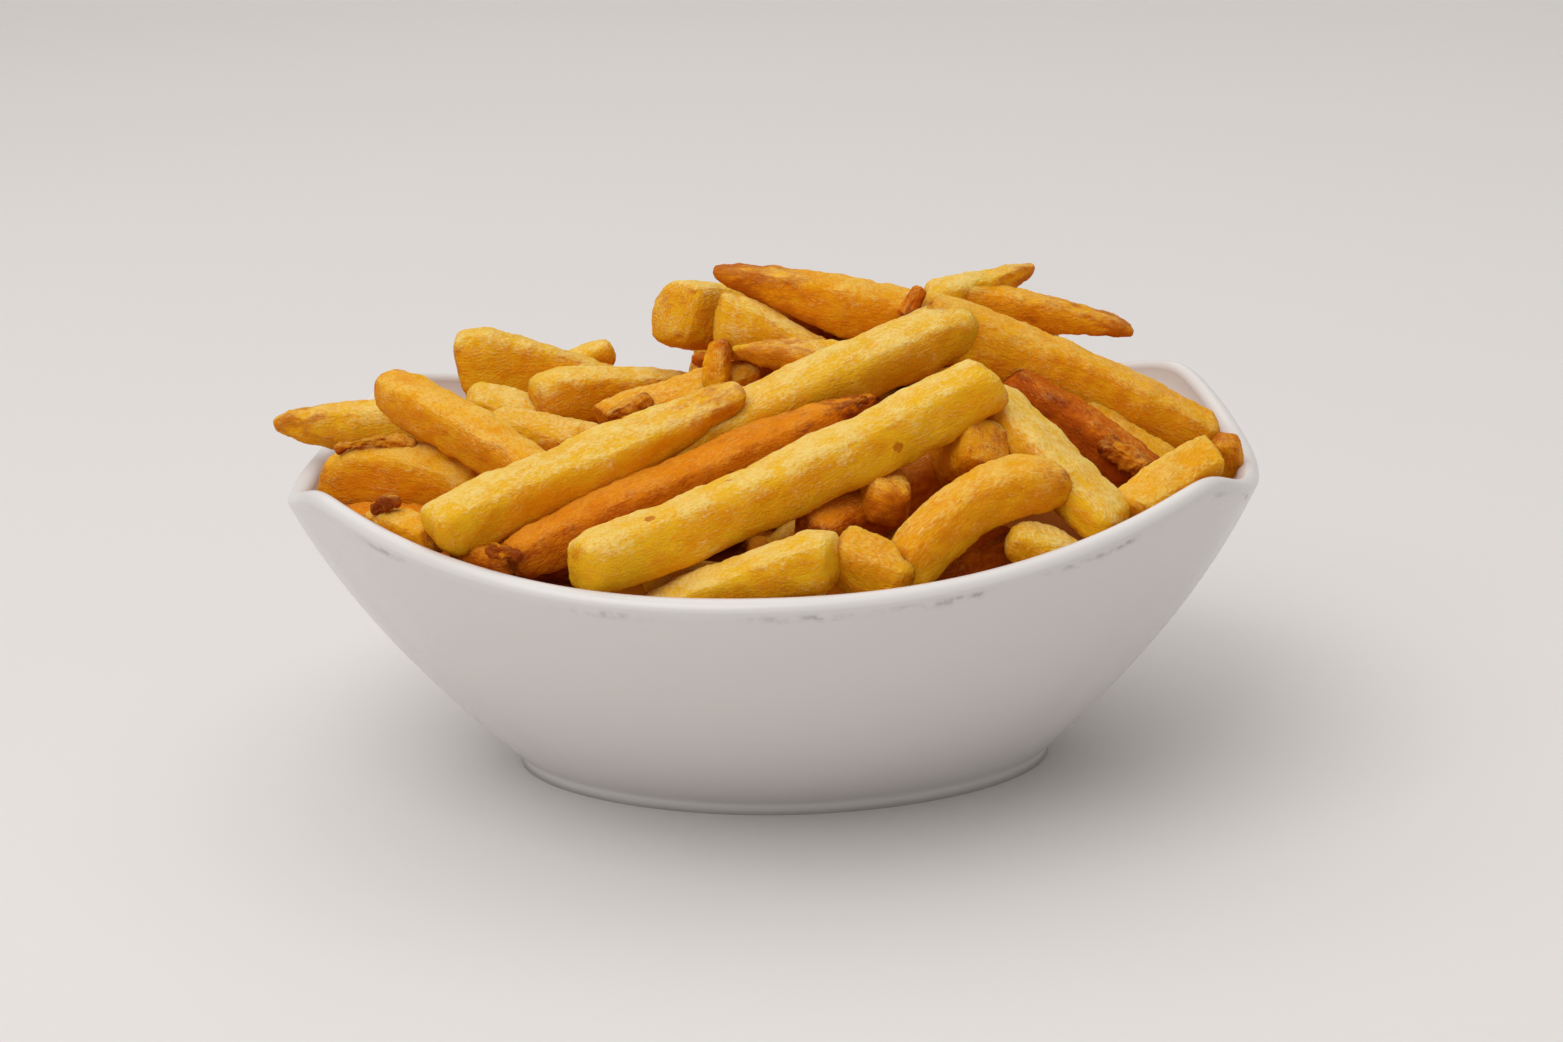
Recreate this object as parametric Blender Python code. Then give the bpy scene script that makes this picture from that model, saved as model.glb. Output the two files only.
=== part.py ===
"""A portion of french fries heaped in a white porcelain bowl with four raised corners.

Two solids: the bowl, and the heap of fries as one closed body out to its uneven outline.
Run with: blender --background --python part.py
Frame: metres, +Z up, origin at the centre of the foot on the table, +X along the bowl, -Y the front.
"""
import math
import random

import bmesh
import bpy
from mathutils import Vector

MM = 0.001

# Bowl, seen from above: an oval cut off at four raised corners.
CORNER = (96.5, 46.7)  # half distance between corners, along and across
END_BULGE = 7.9  # how far each short end bows out past its corners
SIDE_BULGE = 43.3  # how far each long side bows out past its corners
SQUARENESS = 22.0  # higher makes the four corners tighter
CORNER_Z = 79.0
SIDE_Z = 65.7  # lowest point of the long sides
END_Z = 67.9  # lowest point of the short ends
RISE = 2.8  # how late the rim climbs towards a corner
CREST_SOFTNESS = 22.0

# Bowl, in section.
FOOT = (59.0, 37.0)  # half length and half width
FOOT_POWER = 1.9
FOOT_Z = 2.5  # height of the upright foot ring
FOOT_RING = 5.0  # width of the ring that stands on the table
FOOT_EDGE = 0.8  # bevel round the ring's outer edge
RECESS = 2.0  # depth of the hollow inside the ring, and the run of its slope
WALL = 4.8  # measured level; 4 mm square to the sloping wall
LIP = 2.2  # half height of the rounded lip
FLOOR_Z = 6.5
FLOOR_EDGE = 0.93  # share of the foot that the flat of the floor takes up
BELLY = 0.4  # 0 is a straight wall, 1 the fullest curve

# Heap.
GAP = 0.5  # between the heap and the bowl
CORE_TOP = 85.0  # height of the dome that the top fries lie on
CORE_EDGE = 0.94  # how far up the wall the dome starts, 1 being the lip

# Each fry as it was laid: low end, high end, width, arch of its middle (all in millimetres).
FRONT_FRIES = (
    ((-33, -78, 70), (47, -40, 95), 12.0, 0.0),
    ((-62, -66, 74), (-5, -32, 92), 12.5, 1.0),
    ((-31, -44, 77), (40, -8, 98), 12.5, 1.0),
    ((-48, -68, 69), (22, -28, 89), 11.0, 0.0),
    ((-81, -12, 89), (-38, -52, 77), 10.5, 1.0),
    ((-106, 5, 76), (-64, 0, 72), 11.0, 1.0),
    ((-97, -16, 70), (-57, -30, 69), 13.5, 3.0),
    ((-71, 24, 85), (-30, 35, 81), 13.0, 0.0),
    ((-52, 2, 81), (-12, 14, 84), 11.5, 0.0),
    ((-22, 5, 100), (0, 28, 92), 13.5, 0.0),
    ((-9, -4, 99), (24, -8, 93), 12.0, 0.0),
    ((-13, 2, 106), (42, -1, 96), 12.0, 2.0),
    ((-7, -14, 95), (24, -14, 91), 10.0, 0.0),
    ((33, 5, 101), (57, 22, 104), 8.5, 0.0),
    ((33, 10, 101), (80, 15, 93), 9.5, 0.0),
    ((38, -5, 100), (93, -2, 73), 13.5, 2.0),
    ((54, -16, 87), (80, -26, 72), 11.0, 0.0),
    ((51, -33, 88), (72, -57, 70), 11.0, 0.0),
    ((28, -71, 66), (66, -49, 78), 11.5, 3.0),
    ((31, -20, 70), (47, -48, 84), 12.0, 0.0),
    ((16, -30, 75), (28, -60, 75), 11.0, 0.0),
    ((-20, -75, 65), (16, -76, 70), 12.0, 0.0),
    ((74, -48, 71), (92, -33, 78), 9.5, 0.0),
    ((84, 4, 70), (96, -10, 74), 9.0, 0.0),
)

# The far side, strewn by chance over the dome.
BACK_SEED = 5
BACK_COUNT = 17
BACK_ROWS = (26, 44, 60)  # how far back their middles lie
BACK_SPREAD = 72  # how far to the left and right


def clear_scene():
    for thing in list(bpy.data.objects):
        bpy.data.objects.remove(thing, do_unlink=True)


def directions():
    """Angles round the bowl, closest together at the four corners, where the rim turns."""
    corner = math.atan2(CORNER[1], CORNER[0])
    end_steps, side_steps, crowding = 8, 12, 1.6
    quarter = [corner * (1 - (1 - i / end_steps) ** crowding) for i in range(end_steps)]
    rest = math.pi / 2 - corner
    quarter += [corner + rest * (i / side_steps) ** crowding for i in range(side_steps)]
    half_turn = quarter + [math.pi / 2] + [math.pi - a for a in reversed(quarter)]
    return half_turn + [math.pi + a for a in half_turn[1:-1]]


def rim_radius(angle, inset=0.0):
    """Distance from the axis to the rim, where the curves of a long side and an end meet softly."""
    c, s = abs(math.cos(angle)), abs(math.sin(angle))
    side_reach = CORNER[1] + SIDE_BULGE - inset
    end_reach = CORNER[0] + END_BULGE - inset
    side_bend = SIDE_BULGE * (c / CORNER[0]) ** 2
    end_bend = END_BULGE * (s / CORNER[1]) ** 2
    side = 2 * side_reach / (s + math.sqrt(s * s + 4 * side_bend * side_reach))
    end = 2 * end_reach / (c + math.sqrt(c * c + 4 * end_bend * end_reach))
    return side * (1 + (side / end) ** SQUARENESS) ** (-1 / SQUARENESS)


def rim_height(angle):
    """The rim is lowest at the middle of each side and climbs to a soft crest at each corner."""
    r = rim_radius(angle)

    def towards(value):
        return value * (1 + value ** CREST_SOFTNESS) ** (-1 / CREST_SOFTNESS)

    along = towards(abs(r * math.cos(angle)) / CORNER[0])
    across = towards(abs(r * math.sin(angle)) / CORNER[1])
    low = END_Z + (SIDE_Z - END_Z) * across ** 6
    return low + (CORNER_Z - low) * (along * across) ** RISE


def foot_radius(angle):
    c, s = abs(math.cos(angle)), abs(math.sin(angle))
    return ((c / FOOT[0]) ** FOOT_POWER + (s / FOOT[1]) ** FOOT_POWER) ** (-1 / FOOT_POWER)


def wall_point(angle, t, inset, bottom, top_drop):
    """A point (radius, height) on a skin of the wall: t is 0 at the foot and 1 at the lip."""
    foot, rim = foot_radius(angle) - inset, rim_radius(angle, inset)
    top = rim_height(angle) - top_drop
    lean = (1 - BELLY) * t + BELLY * (2 * t - t * t)
    return foot + (rim - foot) * lean, bottom + (top - bottom) * t


def loft(name, rings, angles):
    """A closed mesh through rings of (radius, height), with a centre point at each end."""
    bm = bmesh.new()
    loops = []
    for ring in rings:
        loops.append([
            bm.verts.new((r * math.cos(a) * MM, r * math.sin(a) * MM, z * MM))
            for a, (r, z) in zip(angles, ring)
        ])
    count = len(angles)
    for lower, upper in zip(loops, loops[1:]):
        for i in range(count):
            j = (i + 1) % count
            bm.faces.new((lower[i], lower[j], upper[j], upper[i]))
    for loop, turned in ((loops[0], True), (loops[-1], False)):
        middle = sum((v.co for v in loop), Vector()) / count
        centre = bm.verts.new(middle)
        for i in range(count):
            pair = (loop[i], loop[(i + 1) % count])
            bm.faces.new((*(reversed(pair) if turned else pair), centre))
    bmesh.ops.recalc_face_normals(bm, faces=bm.faces)
    mesh = bpy.data.meshes.new(name)
    bm.to_mesh(mesh)
    bm.free()
    return mesh


def bowl_mesh(name, grow=0.0):
    """The bowl, or the same bowl grown on all sides for cutting what lies in it."""
    angles = directions()
    rings = []
    foot = [foot_radius(a) for a in angles]
    ring_in = FOOT_RING + grow
    rings.append([(r - ring_in - RECESS, RECESS - grow) for r in foot])
    rings.append([(r - ring_in, -grow) for r in foot])
    rings.append([(r - FOOT_EDGE, -grow) for r in foot])
    rings.append([(r + grow, FOOT_EDGE - grow) for r in foot])
    rings.append([(r + grow, FOOT_Z) for r in foot])
    outer_levels = (0.08, 0.2, 0.35, 0.5, 0.65, 0.8, 0.92, 1.0)
    for t in outer_levels:
        rings.append([wall_point(a, t, -grow, FOOT_Z, LIP) for a in angles])
    lip_steps = 6
    for i in range(1, lip_steps):
        turn = math.pi * i / lip_steps
        inset = (WALL / 2) - (WALL / 2 + grow) * math.cos(turn)
        lift = (LIP + grow) * math.sin(turn)
        rings.append([
            (rim_radius(a, inset), rim_height(a) - LIP + lift) for a in angles
        ])
    for t in (1.0, 0.85, 0.68, 0.5, 0.32, 0.15, 0.04):
        rings.append([wall_point(a, t, WALL + grow, FLOOR_Z + grow, LIP) for a in angles])
    for share in (FLOOR_EDGE, 0.5):
        rings.append([((r - WALL - grow) * share, FLOOR_Z + grow) for r in foot])
    return loft(name, rings, angles)


def core_mesh(name):
    """What fills the bowl below the fries on top: the bowl's inside, domed towards the middle."""
    angles = directions()[::2]
    inset = WALL + 2.0 * GAP
    bottom = FLOOR_Z + 2.0 * GAP
    rings = [[((foot_radius(a) - inset) * FLOOR_EDGE, bottom) for a in angles]]
    for t in (0.04, 0.3, 0.6, CORE_EDGE):
        rings.append([wall_point(a, t, inset, bottom, LIP) for a in angles])
    edge = rings[-1]
    for share in (0.86, 0.66, 0.4, 0.18):
        rings.append([(r * share, CORE_TOP - (CORE_TOP - z) * share ** 2) for r, z in edge])
    return loft(name, rings, angles)


def fry_mesh(name, low, high, width, arch, roll):
    """One cut fry: a square stick with knocked-off edges, a little thinner towards its ends."""
    low, high = Vector(low), Vector(high)
    along = (high - low).normalized()
    side = along.cross(Vector((0, 0, 1))).normalized()
    up = side.cross(along)
    side, up = (
        side * math.cos(roll) + up * math.sin(roll),
        up * math.cos(roll) - side * math.sin(roll),
    )
    bm = bmesh.new()
    loops = []
    sections = [(0.0, 0.62), (0.07, 0.94), (0.93, 0.88), (1.0, 0.55)]
    if arch > 0:
        sections[2:2] = [(0.5, 1.0)]
    for t, size in sections:
        centre = low.lerp(high, t) + Vector((0, 0, arch * 4 * t * (1 - t)))
        half = width / 2 * size
        flat = half * 0.62
        corners = ((half, -flat), (half, flat), (flat, half), (-flat, half),
                   (-half, flat), (-half, -flat), (-flat, -half), (flat, -half))
        loops.append([bm.verts.new((centre + side * a + up * b) * MM) for a, b in corners])
    for near, far in zip(loops, loops[1:]):
        for i in range(8):
            j = (i + 1) % 8
            bm.faces.new((near[i], near[j], far[j], far[i]))
    bm.faces.new(loops[0])
    bm.faces.new(loops[-1])
    bmesh.ops.recalc_face_normals(bm, faces=bm.faces)
    bmesh.ops.triangulate(bm, faces=bm.faces)
    mesh = bpy.data.meshes.new(name)
    bm.to_mesh(mesh)
    bm.free()
    return mesh


def dome_height(x, y):
    """Height of the core's top above the point (x, y)."""
    angle = math.atan2(y, x)
    r, z = wall_point(angle, CORE_EDGE, WALL, FLOOR_Z, LIP)
    share = min(math.hypot(x, y) / r, 1.0)
    return CORE_TOP - (CORE_TOP - z) * share ** 2


def back_fries():
    """Fries on the far side of the heap, strewn at all angles and resting on the dome."""
    chance = random.Random(BACK_SEED)
    laid = []
    for i in range(BACK_COUNT):
        share = (i + 0.5) / BACK_COUNT
        x = BACK_SPREAD * (2 * share - 1) + chance.uniform(-6, 6)
        y = chance.choice(BACK_ROWS) + chance.uniform(-5, 5)
        y *= 1 - 0.25 * (x / 90) ** 2
        turn = chance.uniform(-0.9, 0.9)
        half = chance.uniform(22, 34)
        lift = chance.uniform(3, 7)
        ends = []
        for way in (-1, 1):
            px, py = x + way * half * math.cos(turn), y + way * half * math.sin(turn)
            reach = rim_radius(math.atan2(py, px)) - 12
            pull = min(1.0, reach / math.hypot(px, py))
            px, py = px * pull, py * pull
            ends.append((px, py, dome_height(px, py) + lift))
        laid.append((ends[0], ends[1], chance.uniform(10, 13), chance.uniform(0, 3)))
    return laid


def heap_object(material):
    """The heap: core and fries united into one body, then trimmed clear of the bowl."""
    fries = bpy.data.collections.new("laid_fries")
    bpy.context.scene.collection.children.link(fries)
    chance = random.Random(11)
    for number, (low, high, width, arch) in enumerate(FRONT_FRIES + tuple(back_fries())):
        mesh = fry_mesh(f"fry_{number}", low, high, width, arch, chance.uniform(0.1, 0.8))
        add_helper(f"fry_{number}", mesh, fries)
    cutters = bpy.data.collections.new("bowl_room")
    bpy.context.scene.collection.children.link(cutters)
    room = add_helper("bowl_room", bowl_mesh("bowl_room", GAP), cutters)

    raw = add_helper("heap_raw", core_mesh("heap_raw"), bpy.context.scene.collection)
    union = raw.modifiers.new("fries", "BOOLEAN")
    union.operation, union.operand_type, union.collection = "UNION", "COLLECTION", fries
    cut = raw.modifiers.new("clear_of_bowl", "BOOLEAN")
    cut.operation, cut.object = "DIFFERENCE", room
    ready = raw.evaluated_get(bpy.context.evaluated_depsgraph_get())
    mesh = bpy.data.meshes.new_from_object(ready)
    keep_outer_skin(mesh)
    mesh.name = "fries_heap"
    mesh.materials.clear()
    mesh.materials.append(material)
    heap = bpy.data.objects.new("fries_heap", mesh)
    bpy.context.scene.collection.objects.link(heap)
    return heap


def add_helper(name, mesh, collection):
    """An object that only shapes others: it isn't rendered and shows as wire."""
    thing = bpy.data.objects.new(name, mesh)
    thing.hide_render = True
    thing.display_type = "WIRE"
    collection.objects.link(thing)
    return thing


def keep_outer_skin(mesh):
    """Keeps the largest connected surface, dropping crumbs and sealed pockets between fries."""
    bm = bmesh.new()
    bm.from_mesh(mesh)
    bmesh.ops.remove_doubles(bm, verts=bm.verts, dist=0.00005)
    unseen = set(bm.verts)
    islands = []
    while unseen:
        stack = [unseen.pop()]
        island = list(stack)
        while stack:
            for edge in stack.pop().link_edges:
                for vert in edge.verts:
                    if vert in unseen:
                        unseen.remove(vert)
                        island.append(vert)
                        stack.append(vert)
        islands.append(island)
    largest = max(islands, key=len)
    for island in islands:
        if island is not largest:
            bmesh.ops.delete(bm, geom=island, context="VERTS")
    bmesh.ops.triangulate(bm, faces=bm.faces)
    bm.to_mesh(mesh)
    bm.free()


def glaze_material():
    return plain_material("white_glaze", (0.78, 0.76, 0.74), 0.18)


def fry_material():
    return plain_material("fried_potato", (0.80, 0.50, 0.11), 0.5)


def plain_material(name, colour, roughness):
    material = bpy.data.materials.new(name)
    material.use_nodes = True
    shader = material.node_tree.nodes["Principled BSDF"]
    shader.inputs["Base Color"].default_value = (*colour, 1.0)
    shader.inputs["Roughness"].default_value = roughness
    shader.inputs["Metallic"].default_value = 0.0
    return material


def bowl_object(material):
    mesh = bowl_mesh("bowl")
    mesh.materials.append(material)
    mesh.shade_smooth()
    mesh.set_sharp_from_angle(angle=math.radians(40))
    bowl = bpy.data.objects.new("bowl", mesh)
    bpy.context.scene.collection.objects.link(bowl)
    return bowl


clear_scene()
bowl_object(glaze_material())
heap_object(fry_material())
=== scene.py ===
import math
import random

import bpy
import numpy as np
from mathutils import Matrix, Vector, noise
from mathutils.bvhtree import BVHTree


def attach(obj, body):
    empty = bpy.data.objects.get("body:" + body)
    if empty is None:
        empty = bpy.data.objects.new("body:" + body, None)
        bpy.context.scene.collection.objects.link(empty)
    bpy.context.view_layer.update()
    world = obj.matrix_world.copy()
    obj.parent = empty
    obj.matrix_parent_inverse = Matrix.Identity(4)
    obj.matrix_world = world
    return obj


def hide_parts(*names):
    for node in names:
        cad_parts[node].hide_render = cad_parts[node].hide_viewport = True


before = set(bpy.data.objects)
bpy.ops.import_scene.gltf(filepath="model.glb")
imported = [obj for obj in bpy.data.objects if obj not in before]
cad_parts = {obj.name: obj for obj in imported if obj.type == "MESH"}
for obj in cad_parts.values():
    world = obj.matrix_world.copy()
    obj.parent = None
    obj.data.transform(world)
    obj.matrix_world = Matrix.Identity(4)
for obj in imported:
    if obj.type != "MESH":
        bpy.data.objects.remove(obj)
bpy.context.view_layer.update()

# ---------------------------------------------------------------------------------------------
# The bowl: white porcelain, slip cast in one piece, glazed all over, standing on a foot ring.
# A skin of stations runs from under the foot, up the wall, over the lip and down the inside.
# The rule of the rim, foot and wall in the tree below gives each point of the skin its place.
MM = 0.001
BOWL_SIZES = {
    "Corner along": 96.5 * MM,
    "Corner across": 46.7 * MM,
    "End bulge": 7.9 * MM,
    "Side bulge": 43.3 * MM,
    "Corner height": 79.0 * MM,
    "Side height": 65.7 * MM,
    "End height": 67.9 * MM,
    "Foot along": 59.0 * MM,
    "Foot across": 37.0 * MM,
    "Squareness": 22.0,
    "Crest softness": 22.0,
    "Rise": 2.8,
    "Foot power": 1.9,
    "Belly": 0.4,
}
WALL = 4.8 * MM
LIP = 2.2 * MM
FOOT_TOP = 2.5 * MM
FLOOR = 6.5 * MM
FOOT_RING, FOOT_ROUNDING, FOOT_RECESS = 5.0 * MM, 1.5 * MM, 2.0 * MM
GLAZE, GLAZE_PALER = (0.725, 0.695, 0.674, 1), (0.752, 0.724, 0.704, 1)
WORN = (0.27, 0.25, 0.24, 1)


class Wire:
    """A socket in a Python expression: its operators add Math or Vector Math nodes."""

    def __init__(self, bench, socket):
        self.bench, self.socket = bench, socket

    def __add__(self, other):
        return self.bench.math("ADD", self, other)

    def __radd__(self, other):
        return self.bench.math("ADD", other, self)

    def __sub__(self, other):
        return self.bench.math("SUBTRACT", self, other)

    def __rsub__(self, other):
        return self.bench.math("SUBTRACT", other, self)

    def __mul__(self, other):
        return self.bench.math("MULTIPLY", self, other)

    def __rmul__(self, other):
        return self.bench.math("MULTIPLY", other, self)

    def __truediv__(self, other):
        return self.bench.math("DIVIDE", self, other)

    def __rtruediv__(self, other):
        return self.bench.math("DIVIDE", other, self)

    def __pow__(self, other):
        return self.bench.math("POWER", self, other)


class Bench:
    """Builds one node tree, for a shape or for a finish."""

    def __init__(self, tree):
        self.tree = tree

    def node(self, kind, settings=None, inputs=None, output=0):
        """Adds a node, sets it up, then fills or links its sockets; gives one of its outputs."""
        made = self.tree.nodes.new(kind)
        for name, value in (settings or {}).items():
            setattr(made, name, value)
        for name, value in (inputs or {}).items():
            if isinstance(value, Wire):
                self.tree.links.new(value.socket, made.inputs[name])
            else:
                made.inputs[name].default_value = value
        return Wire(self, made.outputs[output]) if made.outputs else None

    def math(self, operation, *values):
        """One Math node, or a Vector Math node where a value is a vector."""
        vectors = [
            v for v in values
            if isinstance(v, (tuple, Vector)) or (isinstance(v, Wire) and v.socket.type == "VECTOR")
        ]
        if not vectors:
            inputs = dict(enumerate(values))
            return self.node("ShaderNodeMath", {"operation": operation}, inputs)
        if operation == "MULTIPLY" and len(vectors) == 1:
            factor = next(v for v in values if v is not vectors[0])
            inputs = {0: vectors[0], "Scale": factor}
            return self.node("ShaderNodeVectorMath", {"operation": "SCALE"}, inputs)
        output = "Value" if operation in ("LENGTH", "DOT_PRODUCT") else "Vector"
        settings = {"operation": operation}
        return self.node("ShaderNodeVectorMath", settings, dict(enumerate(values)), output)

    def named(self, title, kind="FLOAT"):
        """Reads one of the mesh's own attributes."""
        settings = {"data_type": kind}
        return self.node("GeometryNodeInputNamedAttribute", settings, {"Name": title}, "Attribute")

    def keep(self, geometry, title, value, kind="FLOAT"):
        """Stores a value on every point of the mesh, for later steps and for the finish."""
        settings = {"data_type": kind, "domain": "POINT"}
        inputs = {"Geometry": geometry, "Name": title, "Value": value}
        return self.node("GeometryNodeStoreNamedAttribute", settings, inputs)

    def ease(self, value, low, high):
        """0 below low, 1 above high, and a smooth step between."""
        settings = {"interpolation_type": "SMOOTHSTEP"}
        inputs = {"Value": value, "From Min": low, "From Max": high}
        return self.node("ShaderNodeMapRange", settings, inputs)


def new_tree(title, sizes):
    """A shape's node tree with a named input for each size, and the wires from those inputs."""
    tree = bpy.data.node_groups.new(title, "GeometryNodeTree")
    tree.interface.new_socket("Geometry", in_out="INPUT", socket_type="NodeSocketGeometry")
    kinds = {int: "NodeSocketInt", float: "NodeSocketFloat"}
    for name, value in sizes.items():
        kind = kinds.get(type(value), "NodeSocketMaterial")
        tree.interface.new_socket(name, in_out="INPUT", socket_type=kind)
    tree.interface.new_socket("Geometry", in_out="OUTPUT", socket_type="NodeSocketGeometry")
    bench = Bench(tree)
    source = tree.nodes.new("NodeGroupInput")
    return tree, bench, {s.name: Wire(bench, s) for s in source.outputs if s.name}


def close_tree(bench, geometry, material):
    """Ends a shape's tree: smooth shading, real geometry in place of instances, the finish."""
    smooth = bench.node("GeometryNodeSetShadeSmooth", None, {"Geometry": geometry})
    real = bench.node("GeometryNodeRealizeInstances", None, {"Geometry": smooth})
    inputs = {"Geometry": real, "Material": material}
    done = bench.node("GeometryNodeSetMaterial", None, inputs)
    bench.node("NodeGroupOutput", None, {"Geometry": done})


def grow(name, start, tree, sizes):
    """Runs a tree on a starting mesh and leaves the result as a plain mesh in the scene."""
    piece = bpy.data.objects.new(name, start)
    bpy.context.scene.collection.objects.link(piece)
    modifier = piece.modifiers.new("shape", "NODES")
    modifier.node_group = tree
    for item in tree.interface.items_tree:
        if item.in_out == "INPUT" and item.name in sizes:
            modifier[item.identifier] = sizes[item.name]
    shown = piece.evaluated_get(bpy.context.evaluated_depsgraph_get())
    made = bpy.data.meshes.new_from_object(shown)
    piece.modifiers.clear()
    piece.data = made
    made.name = name
    return piece


def new_finish(title):
    """A material with nothing in it yet, and the bench to build it on."""
    material = bpy.data.materials.new(title)
    material.use_nodes = True
    material.node_tree.nodes.clear()
    return material, Bench(material.node_tree)


def coat(bench, inputs):
    """Ends a material: the shader and the output."""
    shader = bench.node("ShaderNodeBsdfPrincipled", None, inputs)
    bench.node("ShaderNodeOutputMaterial", None, {"Surface": shader})


def glaze_finish():
    """Off-white glossy glaze, rubbed grey in a broken line under the lip, with a few specks."""
    material, bench = new_finish("white_glaze")
    place = bench.node("ShaderNodeTexCoord", None, None, "Object")
    below = bench.node("ShaderNodeAttribute", {"attribute_name": "below_lip"}, None, "Fac")
    patches = bench.node("ShaderNodeTexNoise", None, {"Vector": place, "Scale": 55.0, "Detail": 3.0})
    strokes = bench.node("ShaderNodeTexNoise", None, {"Vector": place, "Scale": 420.0, "Detail": 2.0})
    band = bench.ease(below, 2.6 * MM, 3.6 * MM) * (1 - bench.ease(below, 3.9 * MM, 5.4 * MM))
    rubbed = band * bench.ease(patches, 0.50, 0.66) * bench.ease(strokes, 0.42, 0.62)
    cells = {"Vector": place, "Scale": 62.0}
    near = bench.node("ShaderNodeTexVoronoi", None, cells, "Distance")
    chosen = bench.node("ShaderNodeTexVoronoi", None, cells, "Color")
    pick = bench.node("ShaderNodeSeparateColor", None, {"Color": chosen}, "Red")
    specks = (1 - bench.ease(near, 0.018, 0.036)) * bench.ease(pick, 0.90, 0.91)
    marks = bench.math("MAXIMUM", rubbed * 0.5, specks * 0.6)
    cloud = bench.node("ShaderNodeTexNoise", None, {"Vector": place, "Scale": 18.0, "Detail": 2.0})
    mix = {"Factor": cloud, "A": GLAZE, "B": GLAZE_PALER}
    clean = bench.node("ShaderNodeMix", {"data_type": "RGBA"}, named_mix(mix), 2)
    mix = {"Factor": marks, "A": clean, "B": WORN}
    colour = bench.node("ShaderNodeMix", {"data_type": "RGBA"}, named_mix(mix), 2)
    waves = bench.node("ShaderNodeTexNoise", None, {"Vector": place, "Scale": 40.0, "Detail": 1.0})
    inputs = {"Strength": 0.05, "Distance": 0.4 * MM, "Height": waves}
    normal = bench.node("ShaderNodeBump", None, inputs)
    coat(bench, {
        "Base Color": colour,
        "Roughness": 0.20 + marks * 0.35 + cloud * 0.05,
        "IOR": 1.5,
        "Normal": normal,
    })
    return material


def named_mix(parts):
    """The sockets of a colour Mix node, which has several sets that share their names."""
    return {0: parts["Factor"], 6: parts["A"], 7: parts["B"]}


def rim_rule(bench, given, turn, climb, inset, base):
    """Radius and height of a point on the skin, from the bowl's sizes."""
    c = bench.math("ABSOLUTE", bench.math("COSINE", turn))
    s = bench.math("ABSOLUTE", bench.math("SINE", turn))
    side_reach = given["Corner across"] + given["Side bulge"] - inset
    end_reach = given["Corner along"] + given["End bulge"] - inset
    side_bend = given["Side bulge"] * (c / given["Corner along"]) ** 2
    end_bend = given["End bulge"] * (s / given["Corner across"]) ** 2
    side = 2 * side_reach / (s + (s * s + 4 * side_bend * side_reach) ** 0.5)
    end = 2 * end_reach / (c + (c * c + 4 * end_bend * end_reach) ** 0.5)
    power = given["Squareness"]
    corner = side * (1 + (side / end) ** power) ** (-1 / power)

    full = given["Corner along"] + given["End bulge"]
    side_full = given["Corner across"] + given["Side bulge"]
    side_outer = 2 * side_full / (s + (s * s + 4 * side_bend * side_full) ** 0.5)
    end_outer = 2 * full / (c + (c * c + 4 * end_bend * full) ** 0.5)
    outer = side_outer * (1 + (side_outer / end_outer) ** power) ** (-1 / power)

    soft = given["Crest softness"]
    along = outer * c / given["Corner along"]
    across = outer * s / given["Corner across"]
    along = along * (1 + along ** soft) ** (-1 / soft)
    across = across * (1 + across ** soft) ** (-1 / soft)
    low = given["End height"] + (given["Side height"] - given["End height"]) * across ** 6
    crest = low + (given["Corner height"] - low) * (along * across) ** given["Rise"]

    power = given["Foot power"]
    shape = (c / given["Foot along"]) ** power + (s / given["Foot across"]) ** power
    foot = shape ** (-1 / power) - inset
    lean = (1 - given["Belly"]) * climb + given["Belly"] * (2 * climb - climb * climb)
    radius = foot + (corner - foot) * lean
    height = base + (crest - LIP - base) * climb
    return radius, height, crest


def bowl_tree(material_slot):
    """Puts every point of a skin in its place by the rule of the bowl."""
    tree, bench, given = new_tree("bowl_by_rule", {**BOWL_SIZES, "Material": material_slot})
    turn, climb, inset = bench.named("turn"), bench.named("climb"), bench.named("inset")
    base, share, lift = bench.named("base"), bench.named("share"), bench.named("lift")
    radius, height, crest = rim_rule(bench, given, turn, climb, inset, base)
    x = radius * share * bench.math("COSINE", turn)
    y = radius * share * bench.math("SINE", turn)
    z = height + lift
    spot = bench.node("ShaderNodeCombineXYZ", None, {"X": x, "Y": y, "Z": z})
    skin = bench.keep(given["Geometry"], "below_lip", crest - z)
    skin = bench.node("GeometryNodeSetPosition", None, {"Geometry": skin, "Position": spot})
    close_tree(bench, skin, given["Material"])
    return tree


def directions(end_steps, side_steps):
    """Angles round the bowl, crowded towards its four corners, where the rim turns."""
    corner = math.atan2(BOWL_SIZES["Corner across"], BOWL_SIZES["Corner along"])
    crowding = 1.5
    quarter = [corner * (1 - (1 - i / end_steps) ** crowding) for i in range(end_steps)]
    rest = math.pi / 2 - corner
    quarter += [corner + rest * (i / side_steps) ** crowding for i in range(side_steps)]
    half = quarter + [math.pi / 2] + [math.pi - a for a in reversed(quarter)]
    return half + [math.pi + a for a in half[1:-1]]


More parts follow.
